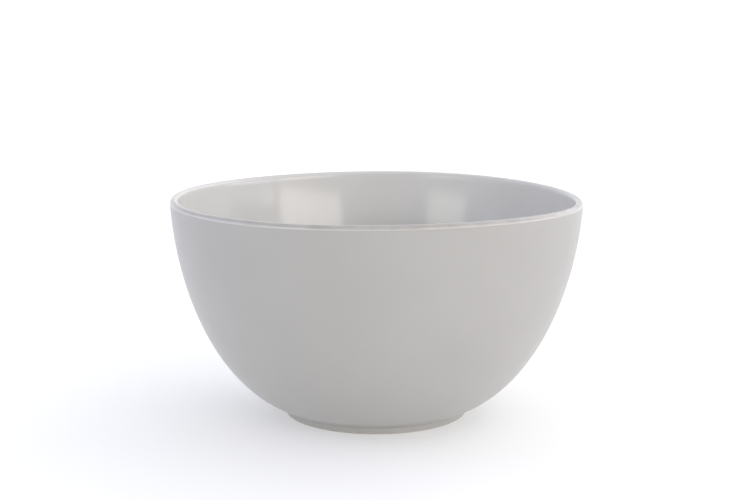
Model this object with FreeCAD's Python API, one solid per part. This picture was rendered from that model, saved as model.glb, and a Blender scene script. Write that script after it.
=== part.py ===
import FreeCAD, Part
import math
import os

# A deep round serving bowl in glazed stoneware, in millimetres.
# The foot ring stands on z = 0, the bowl's axis is +Z, and the origin is the centre of the foot.
# Every piece is turned about +Z: its outline is drawn as (radius, height) and then revolved.

# Overall form, measured on the finished glaze
RIM_RADIUS = 125.0          # at the widest part of the lip
BOWL_HEIGHT = 134.5         # table to the top of the lip
LIP_THICKNESS = 4.8         # the lip is a full half round of this thickness
WALL_ANGLE_AT_LIP = 86.0    # degrees above horizontal, so the rim still opens a little
WALL_ANGLE_AT_FOOT = 21.0   # degrees above horizontal
LOWER_WALL_PULL = 39.0      # how far the wall holds its angle outwards from the foot
UPPER_WALL_PULL = 61.6      # how far the wall holds its angle downwards from the lip
WALL_AT_FOOT = 7.5          # the wall thickens from the lip down to this

# Foot ring and floor
FOOT_RADIUS = 56.6
FOOT_HEIGHT = 4.2           # table to the corner between foot ring and wall
FOOT_COVE = 2.4             # radius of the hollow in that corner
FOOT_RING_WIDTH = 5.6       # across the ring, glaze to glaze
FOOT_EDGE_RADIUS = 0.8      # rounding of the bare clay beside the bearing face
RECESS_DEPTH = 3.0          # table to the glaze inside the foot ring
RECESS_COVE = 1.0           # radius of the corner inside the foot ring
FLOOR_THICKNESS = 6.0       # at the bowl's axis, glaze to glaze

# Glaze
GLAZE = 0.5                 # thickness of each fired coat, whose lower edges are quarter rounds
BARE_BAND = 1.2             # height of bare clay left outside, between the table and the glaze


def point(radius, height):
    """A point of an outline, in the half plane through the bowl's axis."""
    return FreeCAD.Vector(radius, 0, height)


def heading(angle):
    """The unit direction at an angle in degrees above horizontal, outwards."""
    return point(math.cos(math.radians(angle)), math.sin(math.radians(angle)))


def line(start, end):
    return Part.makeLine(start, end)


def arc(centre, radius, start_angle, end_angle):
    """An arc from one angle to another, in degrees above horizontal, either way round."""
    middle_angle = (start_angle + end_angle) / 2
    ends = [centre + heading(angle) * radius for angle in (start_angle, middle_angle, end_angle)]
    return Part.Arc(*ends).toShape()


def curve(poles):
    bezier = Part.BezierCurve()
    bezier.setPoles(poles)
    return bezier.toShape()


def crossing(point_a, direction_a, point_b, direction_b):
    """Where two straight lines of the outline's plane cross."""
    gap = point_b - point_a
    turn = direction_a.x * direction_b.z - direction_a.z * direction_b.x
    along = (gap.x * direction_b.z - gap.z * direction_b.x) / turn
    return point_a + direction_a * along


def inside_of(poles, first_depth, last_depth):
    """The curve that lies inside a cubic curve: its legs moved in by a depth that goes evenly
    from the first to the last. The ends keep their directions."""
    depths = [first_depth, (first_depth + last_depth) / 2, last_depth]
    directions = [(end - start).normalize() for start, end in zip(poles, poles[1:])]
    inward = [point(-direction.z, direction.x) for direction in directions]
    starts = [pole + across * depth for pole, across, depth in zip(poles, inward, depths)]
    return [
        starts[0],
        crossing(starts[0], directions[0], starts[1], directions[1]),
        crossing(starts[1], directions[1], starts[2], directions[2]),
        poles[3] + inward[2] * last_depth,
    ]


def turned(outline):
    """The solid made by revolving a closed outline once around the bowl's axis."""
    face = Part.Face(Part.Wire(outline))
    solid = face.revolve(point(0, 0), FreeCAD.Vector(0, 0, 1), 360)
    if solid.Volume < 0:
        solid.reverse()
    return solid


# The lip: half rounds about one centre, squared to the wall where they meet it
lip_centre = point(RIM_RADIUS - LIP_THICKNESS / 2, BOWL_HEIGHT - LIP_THICKNESS / 2)
LIP_START = WALL_ANGLE_AT_LIP - 90
LIP_END = WALL_ANGLE_AT_LIP + 90
lip_glaze_radius = LIP_THICKNESS / 2
lip_clay_radius = lip_glaze_radius - GLAZE

# The corner between foot ring and wall, coved with an arc that touches both
foot_corner = point(FOOT_RADIUS, FOOT_HEIGHT)
cove_reach = FOOT_COVE * math.tan(math.radians((90 - WALL_ANGLE_AT_FOOT) / 2))
cove_centre = foot_corner + point(FOOT_COVE, -cove_reach)
COVE_START = 180
COVE_END = 90 + WALL_ANGLE_AT_FOOT

# Four wall curves, from the outside in: glaze, clay, clay, glaze
wall_foot = foot_corner + heading(WALL_ANGLE_AT_FOOT) * cove_reach
wall_lip = lip_centre + heading(LIP_START) * lip_glaze_radius
outer_glaze_wall = [
    wall_foot,
    wall_foot + heading(WALL_ANGLE_AT_FOOT) * LOWER_WALL_PULL,
    wall_lip - heading(WALL_ANGLE_AT_LIP) * UPPER_WALL_PULL,
    wall_lip,
]
outer_clay_wall = inside_of(outer_glaze_wall, GLAZE, GLAZE)
inner_glaze_wall = inside_of(outer_glaze_wall, WALL_AT_FOOT, LIP_THICKNESS)
inner_clay_wall = inside_of(outer_glaze_wall, WALL_AT_FOOT - GLAZE, LIP_THICKNESS - GLAZE)


def floor(depth, wall_start):
    """The curve of the floor, level at the axis and running smoothly into the wall.
    The depth is how far it lies under the finished inside surface."""
    level = RECESS_DEPTH + FLOOR_THICKNESS - depth
    rise_point = crossing(point(0, level), heading(0), wall_start, heading(WALL_ANGLE_AT_FOOT))
    return [point(0, level), point(rise_point.x / 2, level), rise_point, wall_start]


glaze_floor = floor(0, inner_glaze_wall[0])
clay_floor = floor(GLAZE, inner_clay_wall[0])

# The recess inside the foot ring, with a coved corner
recess_radius = FOOT_RADIUS - FOOT_RING_WIDTH
recess_cove_centre = point(recess_radius - RECESS_COVE, RECESS_DEPTH - RECESS_COVE)


def stoneware_body():
    """The fired clay: wall, floor, lip and foot ring in one piece."""
    foot_outside = FOOT_RADIUS - GLAZE
    foot_inside = recess_radius + GLAZE
    edge = FOOT_EDGE_RADIUS
    recess_level = RECESS_DEPTH + GLAZE
    return turned([
        line(point(0, recess_level), point(recess_cove_centre.x, recess_level)),
        arc(recess_cove_centre, RECESS_COVE + GLAZE, 90, 0),
        line(point(foot_inside, recess_cove_centre.z), point(foot_inside, edge)),
        arc(point(foot_inside + edge, edge), edge, 180, 270),
        line(point(foot_inside + edge, 0), point(foot_outside - edge, 0)),
        arc(point(foot_outside - edge, edge), edge, -90, 0),
        line(point(foot_outside, edge), point(foot_outside, cove_centre.z)),
        arc(cove_centre, FOOT_COVE + GLAZE, COVE_START, COVE_END),
        curve(outer_clay_wall),
        arc(lip_centre, lip_clay_radius, LIP_START, LIP_END),
        curve(inner_clay_wall[::-1]),
        curve(clay_floor[::-1]),
        line(clay_floor[0], point(0, recess_level)),
    ])


def inside_glaze():
    """The glossy coat of the bowl's inside, which runs over the lip."""
    return turned([
        curve(glaze_floor),
        curve(inner_glaze_wall),
        arc(lip_centre, lip_glaze_radius, LIP_END, LIP_START),
        line(outer_glaze_wall[3], outer_clay_wall[3]),
        arc(lip_centre, lip_clay_radius, LIP_START, LIP_END),
        curve(inner_clay_wall[::-1]),
        curve(clay_floor[::-1]),
        line(clay_floor[0], glaze_floor[0]),
    ])


def outside_glaze():
    """The satin coat of the outside, from under the lip to just above the table."""
    clay_radius = FOOT_RADIUS - GLAZE
    edge_level = BARE_BAND + GLAZE
    return turned([
        line(point(FOOT_RADIUS, edge_level), point(FOOT_RADIUS, cove_centre.z)),
        arc(cove_centre, FOOT_COVE, COVE_START, COVE_END),
        curve(outer_glaze_wall),
        line(outer_glaze_wall[3], outer_clay_wall[3]),
        curve(outer_clay_wall[::-1]),
        arc(cove_centre, FOOT_COVE + GLAZE, COVE_END, COVE_START),
        line(point(clay_radius, cove_centre.z), point(clay_radius, BARE_BAND)),
        arc(point(clay_radius, edge_level), GLAZE, -90, 0),
    ])


def underside_glaze():
    """The coat of the recess, which ends at the foot of the recess's coved corner."""
    clay_radius = recess_radius + GLAZE
    recess_level = RECESS_DEPTH + GLAZE
    return turned([
        line(point(0, RECESS_DEPTH), point(recess_cove_centre.x, RECESS_DEPTH)),
        arc(recess_cove_centre, RECESS_COVE, 90, 0),
        arc(point(clay_radius, recess_cove_centre.z), GLAZE, 180, 270),
        line(point(clay_radius, recess_cove_centre.z - GLAZE), point(clay_radius, recess_cove_centre.z)),
        arc(recess_cove_centre, RECESS_COVE + GLAZE, 0, 90),
        line(point(recess_cove_centre.x, recess_level), point(0, recess_level)),
        line(point(0, recess_level), point(0, RECESS_DEPTH)),
    ])


nodes = {
    "stoneware_body": stoneware_body(),
    "inside_glaze": inside_glaze(),
    "outside_glaze": outside_glaze(),
    "underside_glaze": underside_glaze(),
}

os.makedirs("parts", exist_ok=True)
for name, solid in nodes.items():
    solid.exportStep("parts/" + name + ".step")
    verdict = "valid" if solid.isValid() else "NOT VALID"
    print(name, solid.ShapeType, verdict, "%.0f mm3" % solid.Volume)
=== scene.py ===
import math

import bpy
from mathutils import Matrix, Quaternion, Vector


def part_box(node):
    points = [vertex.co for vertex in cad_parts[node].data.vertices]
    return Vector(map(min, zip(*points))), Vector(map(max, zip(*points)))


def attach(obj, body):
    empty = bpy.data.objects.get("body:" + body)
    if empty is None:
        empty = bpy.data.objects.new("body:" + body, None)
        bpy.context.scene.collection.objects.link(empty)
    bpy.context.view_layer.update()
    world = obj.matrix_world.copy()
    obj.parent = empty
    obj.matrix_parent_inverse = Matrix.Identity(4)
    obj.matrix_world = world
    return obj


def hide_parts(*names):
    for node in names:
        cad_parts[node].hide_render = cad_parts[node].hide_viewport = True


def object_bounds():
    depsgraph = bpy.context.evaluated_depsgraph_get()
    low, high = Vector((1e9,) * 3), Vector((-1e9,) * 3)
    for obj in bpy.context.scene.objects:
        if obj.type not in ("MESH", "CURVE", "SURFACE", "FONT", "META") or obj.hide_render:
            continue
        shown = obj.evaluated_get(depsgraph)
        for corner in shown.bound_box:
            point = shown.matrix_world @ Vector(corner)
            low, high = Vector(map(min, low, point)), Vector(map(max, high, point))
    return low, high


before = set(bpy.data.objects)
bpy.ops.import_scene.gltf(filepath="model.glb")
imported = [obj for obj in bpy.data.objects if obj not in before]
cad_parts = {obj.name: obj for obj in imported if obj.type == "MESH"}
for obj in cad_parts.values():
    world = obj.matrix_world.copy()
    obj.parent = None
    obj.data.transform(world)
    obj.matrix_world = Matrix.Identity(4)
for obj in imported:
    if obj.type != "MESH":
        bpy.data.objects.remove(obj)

# A deep round serving bowl, pale glazed stoneware: glossy inside and over the lip, satin outside, and bare
# clay where it stands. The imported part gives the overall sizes; the four solids are rebuilt here as clean
# turned meshes with the slight unevenness of a hand-thrown pot. Metres, +Z up, foot on z = 0.

MM = 0.001
cad_low, cad_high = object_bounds()

# ---------------------------------------------------------------- outlines, as (radius, height)

RIM_RADIUS = cad_high.x
BOWL_HEIGHT = cad_high.z
LIP_THICKNESS = 4.8 * MM
WALL_ANGLE_AT_LIP = 86.0  # degrees from level
WALL_ANGLE_AT_FOOT = 21.0
LOWER_WALL_PULL = 39.0 * MM
UPPER_WALL_PULL = 61.6 * MM
WALL_AT_FOOT = 7.5 * MM
FOOT_RADIUS = 56.6 * MM
FOOT_HEIGHT = 4.2 * MM
FOOT_COVE = 2.4 * MM
FOOT_RING_WIDTH = 5.6 * MM
FOOT_EDGE_RADIUS = 0.8 * MM
RECESS_DEPTH = 3.0 * MM
RECESS_COVE = 1.0 * MM
FLOOR_THICKNESS = 6.0 * MM
FLOOR_LEVEL = RECESS_DEPTH + FLOOR_THICKNESS
GLAZE = 0.5 * MM
BARE_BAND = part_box("outside_glaze")[0].z


def heading(degrees):
    return Vector((math.cos(math.radians(degrees)), math.sin(math.radians(degrees))))


def arc(centre, radius, start, end, steps):
    return [centre + heading(start + (end - start) * i / steps) * radius for i in range(steps + 1)]


def bezier(poles, steps):
    a, b, c, d = poles
    points = []
    for i in range(steps + 1):
        t = i / steps
        s = 1 - t
        points.append(a * s ** 3 + b * 3 * s * s * t + c * 3 * s * t * t + d * t ** 3)
    return points


def crossing(point_a, way_a, point_b, way_b):
    gap = point_b - point_a
    turn = way_a.x * way_b.y - way_a.y * way_b.x
    return point_a + way_a * ((gap.x * way_b.y - gap.y * way_b.x) / turn)


def inside_of(poles, first_depth, last_depth):
    """The curve inside a cubic curve, by a depth that goes evenly from the first to the last."""
    depths = [first_depth, (first_depth + last_depth) / 2, last_depth]
    ways = [(end - start).normalized() for start, end in zip(poles, poles[1:])]
    inward = [Vector((-way.y, way.x)) for way in ways]
    starts = [pole + across * depth for pole, across, depth in zip(poles, inward, depths)]
    return [
        starts[0],
        crossing(starts[0], ways[0], starts[1], ways[1]),
        crossing(starts[1], ways[1], starts[2], ways[2]),
        poles[3] + inward[2] * last_depth,
    ]


lip_centre = Vector((RIM_RADIUS - LIP_THICKNESS / 2, BOWL_HEIGHT - LIP_THICKNESS / 2))
LIP_START = WALL_ANGLE_AT_LIP - 90
LIP_END = WALL_ANGLE_AT_LIP + 90
cove_reach = FOOT_COVE * math.tan(math.radians((90 - WALL_ANGLE_AT_FOOT) / 2))
foot_corner = Vector((FOOT_RADIUS, FOOT_HEIGHT))
cove_centre = foot_corner + Vector((FOOT_COVE, -cove_reach))
wall_foot = foot_corner + heading(WALL_ANGLE_AT_FOOT) * cove_reach
wall_lip = lip_centre + heading(LIP_START) * (LIP_THICKNESS / 2)
outer_wall = [
    wall_foot,
    wall_foot + heading(WALL_ANGLE_AT_FOOT) * LOWER_WALL_PULL,
    wall_lip - heading(WALL_ANGLE_AT_LIP) * UPPER_WALL_PULL,
    wall_lip,
]
outer_clay = inside_of(outer_wall, GLAZE, GLAZE)
inner_wall = inside_of(outer_wall, WALL_AT_FOOT, LIP_THICKNESS)
inner_clay = inside_of(outer_wall, WALL_AT_FOOT - GLAZE, LIP_THICKNESS - GLAZE)
recess_radius = FOOT_RADIUS - FOOT_RING_WIDTH
recess_corner = Vector((recess_radius - RECESS_COVE, RECESS_DEPTH - RECESS_COVE))

WALL_STEPS = 72
FLOOR_STEPS = 28
LIP_STEPS = 16
COVE_STEPS = 8
EDGE_STEPS = 5


def floor(level, wall_start):
    rise = crossing(Vector((0, level)), heading(0), wall_start, heading(WALL_ANGLE_AT_FOOT))
    return bezier([Vector((0, level)), Vector((rise.x / 2, level)), rise, wall_start], FLOOR_STEPS)


def stoneware_outline():
    outside, inside, edge = FOOT_RADIUS - GLAZE, recess_radius + GLAZE, FOOT_EDGE_RADIUS
    return (
        [Vector((0, RECESS_DEPTH + GLAZE))]
        + arc(recess_corner, RECESS_COVE + GLAZE, 90, 0, COVE_STEPS)
        + arc(Vector((inside + edge, edge)), edge, 180, 270, EDGE_STEPS)
        + arc(Vector((outside - edge, edge)), edge, -90, 0, EDGE_STEPS)
        + arc(cove_centre, FOOT_COVE + GLAZE, 180, 90 + WALL_ANGLE_AT_FOOT, COVE_STEPS)
        + bezier(outer_clay, WALL_STEPS)[1:]
        + arc(lip_centre, LIP_THICKNESS / 2 - GLAZE, LIP_START, LIP_END, LIP_STEPS)[1:]
        + bezier(inner_clay, WALL_STEPS)[-2::-1]
        + floor(FLOOR_LEVEL - GLAZE, inner_clay[0])[-2::-1]
    )


def gloss_outline():
    return (
        floor(FLOOR_LEVEL, inner_wall[0])
        + bezier(inner_wall, WALL_STEPS)[1:]
        + arc(lip_centre, LIP_THICKNESS / 2, LIP_END, LIP_START, LIP_STEPS)[1:]
        + arc(lip_centre, LIP_THICKNESS / 2 - GLAZE, LIP_START, LIP_END, LIP_STEPS)
        + bezier(inner_clay, WALL_STEPS)[-2::-1]
        + floor(FLOOR_LEVEL - GLAZE, inner_clay[0])[-2::-1]
    )


def satin_outline():
    clay_radius = FOOT_RADIUS - GLAZE
    return (
        arc(Vector((clay_radius, BARE_BAND + GLAZE)), GLAZE, -90, 0, EDGE_STEPS)
        + arc(cove_centre, FOOT_COVE, 180, 90 + WALL_ANGLE_AT_FOOT, COVE_STEPS)
        + bezier(outer_wall, WALL_STEPS)[1:]
        + bezier(outer_clay, WALL_STEPS)[::-1]
        + arc(cove_centre, FOOT_COVE + GLAZE, 90 + WALL_ANGLE_AT_FOOT, 180, COVE_STEPS)[1:]
    )


def recess_outline():
    clay_radius = recess_radius + GLAZE
    return (
        [Vector((0, RECESS_DEPTH))]
        + arc(recess_corner, RECESS_COVE, 90, 0, COVE_STEPS)
        + arc(Vector((clay_radius, recess_corner.y)), GLAZE, 180, 270, EDGE_STEPS)[1:]
        + arc(recess_corner, RECESS_COVE + GLAZE, 0, 90, COVE_STEPS)
        + [Vector((0, RECESS_DEPTH + GLAZE))]
    )


# ---------------------------------------------------------------- turned meshes

SEGMENTS = 240
ON_AXIS = 1e-7  # a point nearer to the axis than this lies on it
SHARP_ANGLE = math.radians(40)

# The rim's slow waves, outwards and upwards: how often each goes round, and its cosine and sine share
WAVES_OUT = ((1, 0.18 * MM, 0.0), (2, 0.04 * MM, -0.11 * MM), (3, 0.17 * MM, -0.03 * MM))
WAVES_UP = ((1, -0.27 * MM, 0.04 * MM), (2, -0.52 * MM, -0.09 * MM), (3, -0.41 * MM, 0.01 * MM))


def wave(waves, angle):
    return sum(even * math.cos(times * angle) + odd * math.sin(times * angle) for times, even, odd in waves)


crest_out = max(wave(WAVES_OUT, math.radians(degree)) for degree in range(360))
crest_up = max(wave(WAVES_UP, math.radians(degree)) for degree in range(360))


def unevenness(radius, angle, height):
    """Move a point of the round bowl inwards and down by its share of the rim's waves."""
    share = (height / BOWL_HEIGHT) ** 2
    out = (wave(WAVES_OUT, angle) - crest_out) * share
    up = (wave(WAVES_UP, angle) - crest_up) * share
    return radius + out, height + up


def turn(name, outline, closed=True, uneven=unevenness):
    """A mesh: the outline carried round the axis, with one vertex where it touches the axis."""
    verts, rings = [], []
    for spot in outline:
        if spot.x < ON_AXIS:
            rings.append([len(verts)])
            verts.append((0, 0, spot.y))
            continue
        rings.append(range(len(verts), len(verts) + SEGMENTS))
        for k in range(SEGMENTS):
            angle = 2 * math.pi * k / SEGMENTS
            radius, height = uneven(spot.x, angle, spot.y)
            verts.append((radius * math.cos(angle), radius * math.sin(angle), height))
    faces = []
    closing = [rings[0]] if closed and len(rings[0]) > 1 else []
    loop = list(rings) + closing
    for low, high in zip(loop, loop[1:]):
        for k in range(SEGMENTS):
            j = (k + 1) % SEGMENTS
            if len(low) == 1:
                faces.append((low[0], high[j], high[k]))
            elif len(high) == 1:
                faces.append((low[k], low[j], high[0]))
            else:
                faces.append((low[k], low[j], high[j], high[k]))
    mesh = bpy.data.meshes.new(name)
    mesh.from_pydata(verts, [], faces)
    mesh.validate()
    mesh.polygons.foreach_set("use_smooth", [True] * len(mesh.polygons))
    mesh.set_sharp_from_angle(angle=SHARP_ANGLE)
    mesh.update()
    piece = bpy.data.objects.new(name, mesh)
    bpy.context.scene.collection.objects.link(piece)
    return piece


# ---------------------------------------------------------------- materials

def new_material(name):
    """A material with its tree, its shader and the place in the bowl's own frame, in metres."""
    material = bpy.data.materials.new(name)
    material.use_nodes = True
    tree = material.node_tree
    where = tree.nodes.new("ShaderNodeTexCoord").outputs["Object"]
    return material, tree, tree.nodes["Principled BSDF"], where


def add(tree, kind, operation=None, **inputs):
    """A shader node. Each named input is a value, or the socket that feeds it."""
    made = tree.nodes.new("ShaderNode" + kind)
    if operation:
        made.operation = operation
    for name, value in inputs.items():
        feed(tree, made.inputs[name.replace("_", " ")], value)
    return made


def feed(tree, socket, value):
    if isinstance(value, bpy.types.NodeSocket):
        tree.links.new(value, socket)
    else:
        socket.default_value = value


def maths(tree, operation, first, second):
    made = add(tree, "Math", operation)
    feed(tree, made.inputs[0], first)
    feed(tree, made.inputs[1], second)
    return made.outputs[0]


def blend(tree, factor, first, second):
    """From the first colour at 0 to the second at 1."""
    made = tree.nodes.new("ShaderNodeMix")
    made.data_type = "RGBA"
    feed(tree, made.inputs[0], factor)
    for socket, colour in ((made.inputs[6], first), (made.inputs[7], second)):
        feed(tree, socket, (*colour, 1) if isinstance(colour, tuple) else colour)
    return made.outputs[2]


def noise(tree, where, size, detail=2.0):
    """Cloudy values about 0.5, in features of this size in metres."""
    return add(tree, "TexNoise", Vector=where, Scale=1 / size, Detail=detail).outputs[0]


def ramp(tree, value, low, high, from_low=0.0, to_high=1.0):
    made = add(tree, "MapRange", Value=value, From_Min=low, From_Max=high, To_Min=from_low, To_Max=to_high)
    return made.outputs[0]


def clouds(tree, where, size, least=0.0, most=1.0, detail=3.0):
    """Soft patches of this size in metres, whose values run from the least to the most."""
    return ramp(tree, noise(tree, where, size, detail), 0.3, 0.7, least, most)


def specks(tree, where, spacing, radius, share):
    """1 in small round spots and 0 elsewhere; this share of the cells, spaced like this, hold a spot."""
    cells = add(tree, "TexVoronoi", Vector=where, Scale=1 / spacing)
    spot = ramp(tree, cells.outputs["Distance"], radius / spacing, 0.4 * radius / spacing)
    lot = add(tree, "SeparateColor", Color=cells.outputs["Color"]).outputs[0]
    return maths(tree, "MULTIPLY", spot, maths(tree, "LESS_THAN", lot, share))


def bump(tree, height, depth, normal=None):
    """A surface normal for relief of this depth in metres, on top of another relief's."""
    made = add(tree, "Bump", Height=height, Distance=depth)
    if normal:
        feed(tree, made.inputs["Normal"], normal)
    return made.outputs[0]


def tint(colour, by):
    return tuple(part * by for part in colour)


# Colour over the lip's outer crown: thin glaze warmed by the clay, made much darker than the glaze as painted
# shade on the lip's top.
LIP_THIN_GLAZE_AND_SHADE = (0.378, 0.358, 0.342)
IRON = (0.20, 0.15, 0.10)
LARGE_IRON_SPECKS = (3.4 * MM, 0.25 * MM, 0.2)  # spacing, radius and the share of places that hold one
SMALL_IRON_SPECKS = (2.2 * MM, 0.13 * MM, 0.2)
DARK_GROG = (1.2 * MM, 0.26 * MM, 0.3)
LIGHT_GROG = (1.4 * MM, 0.24 * MM, 0.3)


def lip_share(tree, where):
    """1 on the outer half of the lip's crown, and fading to 0 just below it and towards the inside."""
    up = add(tree, "SeparateXYZ", Vector=where).outputs["Z"]
    flat = add(tree, "Mapping", Vector=where, Scale=(1.0, 1.0, 0.0)).outputs[0]
    out = add(tree, "VectorMath", "LENGTH")
    feed(tree, out.inputs[0], flat)
    high = ramp(tree, up, BOWL_HEIGHT - 4.2 * MM, BOWL_HEIGHT - 1.6 * MM)
    outer = ramp(tree, out.outputs["Value"], RIM_RADIUS - 4.4 * MM, RIM_RADIUS - 2.6 * MM)
    return maths(tree, "MULTIPLY", high, outer)


def glaze(name, colour, roughness, ripple, throwing):
    """A fired glaze: slightly cloudy, with faint iron specks, and darker and warmer over the lip's outer
    crown, partly where thin glaze lets the clay warm it and partly as painted shade.
    The ripple and the throwing lines are given by the depth of their relief in metres."""
    material, tree, shader, where = new_material(name)
    surface = blend(tree, clouds(tree, where, 45 * MM), tint(colour, 0.98), tint(colour, 1.02))
    # Painted shade on the lip's outer crown, together with the warmer tone of thin glaze over the clay.
    lip_thin_glaze_and_shade = maths(tree, "MULTIPLY", lip_share(tree, where), clouds(tree, where, 12 * MM, 0.75, 1.0))
    surface = blend(tree, lip_thin_glaze_and_shade, surface, LIP_THIN_GLAZE_AND_SHADE)
    large, small = specks(tree, where, *LARGE_IRON_SPECKS), specks(tree, where, *SMALL_IRON_SPECKS)
    spots = maths(tree, "ADD", large, small)
    surface = blend(tree, maths(tree, "MULTIPLY", spots, 0.3), surface, IRON)
    feed(tree, shader.inputs["Base Color"], surface)
    feed(tree, shader.inputs["Roughness"], clouds(tree, where, 30 * MM, *roughness))
    relief = bump(tree, noise(tree, where, 14 * MM), ripple)
    drawn_out = add(tree, "Mapping", Vector=where, Scale=(0.15, 0.15, 1.0)).outputs[0]
    relief = bump(tree, noise(tree, drawn_out, 5 * MM), throwing, relief)
    relief = bump(tree, noise(tree, where, 1.2 * MM), 0.0012 * MM, relief)
    feed(tree, shader.inputs["Normal"], relief)
    return material


def bare_clay(name, colour):
    """Unglazed stoneware: matte, finely grained, with darker and lighter grains of grog."""
    material, tree, shader, where = new_material(name)
    grain = clouds(tree, where, 0.9 * MM, detail=4.0)
    surface = blend(tree, grain, tint(colour, 0.9), tint(colour, 1.08))
    surface = blend(tree, specks(tree, where, *DARK_GROG), surface, tint(colour, 0.62))
    surface = blend(tree, specks(tree, where, *LIGHT_GROG), surface, tint(colour, 1.25))
    feed(tree, shader.inputs["Base Color"], surface)
    feed(tree, shader.inputs["Roughness"], ramp(tree, grain, 0.0, 1.0, 0.82, 0.92))
    feed(tree, shader.inputs["Normal"], bump(tree, noise(tree, where, 0.6 * MM, 4.0), 0.08 * MM))
    return material


def paper(name, colour, near_glow, far_glow):
    """The studio's white sweep, faintly mottled. It glows a little, and more so away from the bowl."""
    material, tree, shader, where = new_material(name)
    mottle = clouds(tree, where, 120 * MM, detail=4.0)
    feed(tree, shader.inputs["Base Color"], blend(tree, mottle, tint(colour, 0.99), colour))
    shader.inputs["Roughness"].default_value = 0.9
    shader.inputs["Emission Color"].default_value = (1, 1, 1, 1)
    span = add(tree, "VectorMath", "LENGTH")
    feed(tree, span.inputs[0], where)
    glow = ramp(tree, span.outputs["Value"], 0.5, 2.5, near_glow, far_glow)
    feed(tree, shader.inputs["Emission Strength"], glow)
    return material


clay = bare_clay("bare_stoneware", (0.44, 0.425, 0.395))
gloss = glaze("gloss_glaze", (0.620, 0.613, 0.592), (0.12, 0.16), ripple=0.035 * MM, throwing=0.004 * MM)
# The satin glaze's colour is about two thirds of the gloss glaze's: painted shade that darkens the outside
# wall against the inside.
satin = glaze("satin_glaze", (0.400, 0.392, 0.376), (0.30, 0.38), ripple=0.025 * MM, throwing=0.014 * MM)

for name, outline, node, material, slot in (
    ("stoneware_pot", stoneware_outline(), "stoneware_body", clay, "bare_stoneware"),
    ("gloss_liner_and_lip", gloss_outline(), "inside_glaze", gloss, "gloss_glaze"),
    ("satin_outside", satin_outline(), "outside_glaze", satin, "satin_glaze"),
    ("satin_recess", recess_outline(), "underside_glaze", satin, "satin_glaze"),
):
    piece = turn(name, outline)
    piece.data.materials.append(material)
    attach(piece, "root")
    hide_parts(node)

# ---------------------------------------------------------------- studio

scene = bpy.context.scene
scene.view_settings.view_transform = "Standard"


SWEEP_FLAT = 2.4
SWEEP_BEND = 1.0
SKY_COLOUR = (0.955, 0.965, 1.0, 1)
SKY_BRIGHTER_TOWARDS = (0.819, 0.574, 0.0)
LIGHT_DISTANCE = 1.6
LIGHTS_AIM = Vector((0, 0, 0.12))
LENS = 69.6
SENSOR = 36.0
CAMERA_PLACE = (-0.0006, -7.0 * RIM_RADIUS, 0.251)
CAMERA_LOOKS_DOWN = 9.784


def level_ring(radius, angle, height):
    return radius, height


def infinity_cove():
    """A round white sweep: level under the bowl and curving up on every side."""
    outline = [Vector((0, 0))] + arc(Vector((SWEEP_FLAT, SWEEP_BEND)), SWEEP_BEND, -90, 0, 24)
    sweep = turn("sweep", outline, closed=False, uneven=level_ring)
    sweep.data.materials.append(paper("sweep_white", (0.70, 0.70, 0.70), near_glow=0.31, far_glow=0.42))


def sky():
    """Soft light from all round, weakest from the front left and strongest from the back right."""
    world = bpy.data.worlds.new("studio")
    world.use_nodes = True
    tree = world.node_tree
    background = tree.nodes["Background"]
    background.inputs["Color"].default_value = SKY_COLOUR
    facing = add(tree, "VectorMath", "DOT_PRODUCT")
    feed(tree, facing.inputs[0], tree.nodes.new("ShaderNodeTexCoord").outputs["Generated"])
    feed(tree, facing.inputs[1], SKY_BRIGHTER_TOWARDS)
    feed(tree, background.inputs["Strength"], ramp(tree, facing.outputs["Value"], -1.0, 1.0, 0.29, 1.66))
    return world


def softbox(name, bearing, elevation, width, height, radiance, roll=0):
    """A rectangular light that faces the bowl. The bearing is in degrees from the front towards the right."""
    across, up = math.radians(bearing), math.radians(elevation)
    toward = Vector((math.sin(across) * math.cos(up), -math.cos(across) * math.cos(up), math.sin(up)))
    lamp = bpy.data.lights.new(name, "AREA")
    lamp.shape = "RECTANGLE"
    lamp.size, lamp.size_y = width, height
    lamp.color = tuple(part / max(radiance) for part in radiance)
    lamp.energy = max(radiance) * math.pi * width * height
    light = bpy.data.objects.new(name, lamp)
    light.location = LIGHTS_AIM + toward * LIGHT_DISTANCE
    spin = Quaternion(toward, math.radians(roll))
    light.rotation_euler = (spin @ (-toward).to_track_quat("-Z", "Y")).to_euler()
    light.visible_camera = False
    scene.collection.objects.link(light)


def camera():
    data = bpy.data.cameras.new("camera")
    data.lens = LENS
    data.sensor_width = SENSOR
    made = bpy.data.objects.new("camera", data)
    made.location = CAMERA_PLACE
    made.rotation_euler = (math.radians(90 - CAMERA_LOOKS_DOWN), 0, 0)
    scene.collection.objects.link(made)
    return made


infinity_cove()
scene.world = sky()
softbox("key", bearing=44, elevation=11.3, width=1.228, height=0.36, radiance=(4.05, 3.6, 3.4), roll=-8)
softbox("fill", bearing=-47.5, elevation=10.3, width=0.7, height=0.30, radiance=(2.7, 2.75, 2.45))
softbox("right", bearing=88, elevation=3, width=1.1, height=0.2, radiance=(3.2, 3.2, 3.5))
softbox("left", bearing=-90, elevation=25, width=1.0, height=1.0, radiance=(0.62, 0.72, 1.4))
softbox("behind", bearing=130, elevation=30, width=1.0, height=1.0, radiance=(0.6, 0.6, 0.6))
bpy.context.scene.camera = camera()
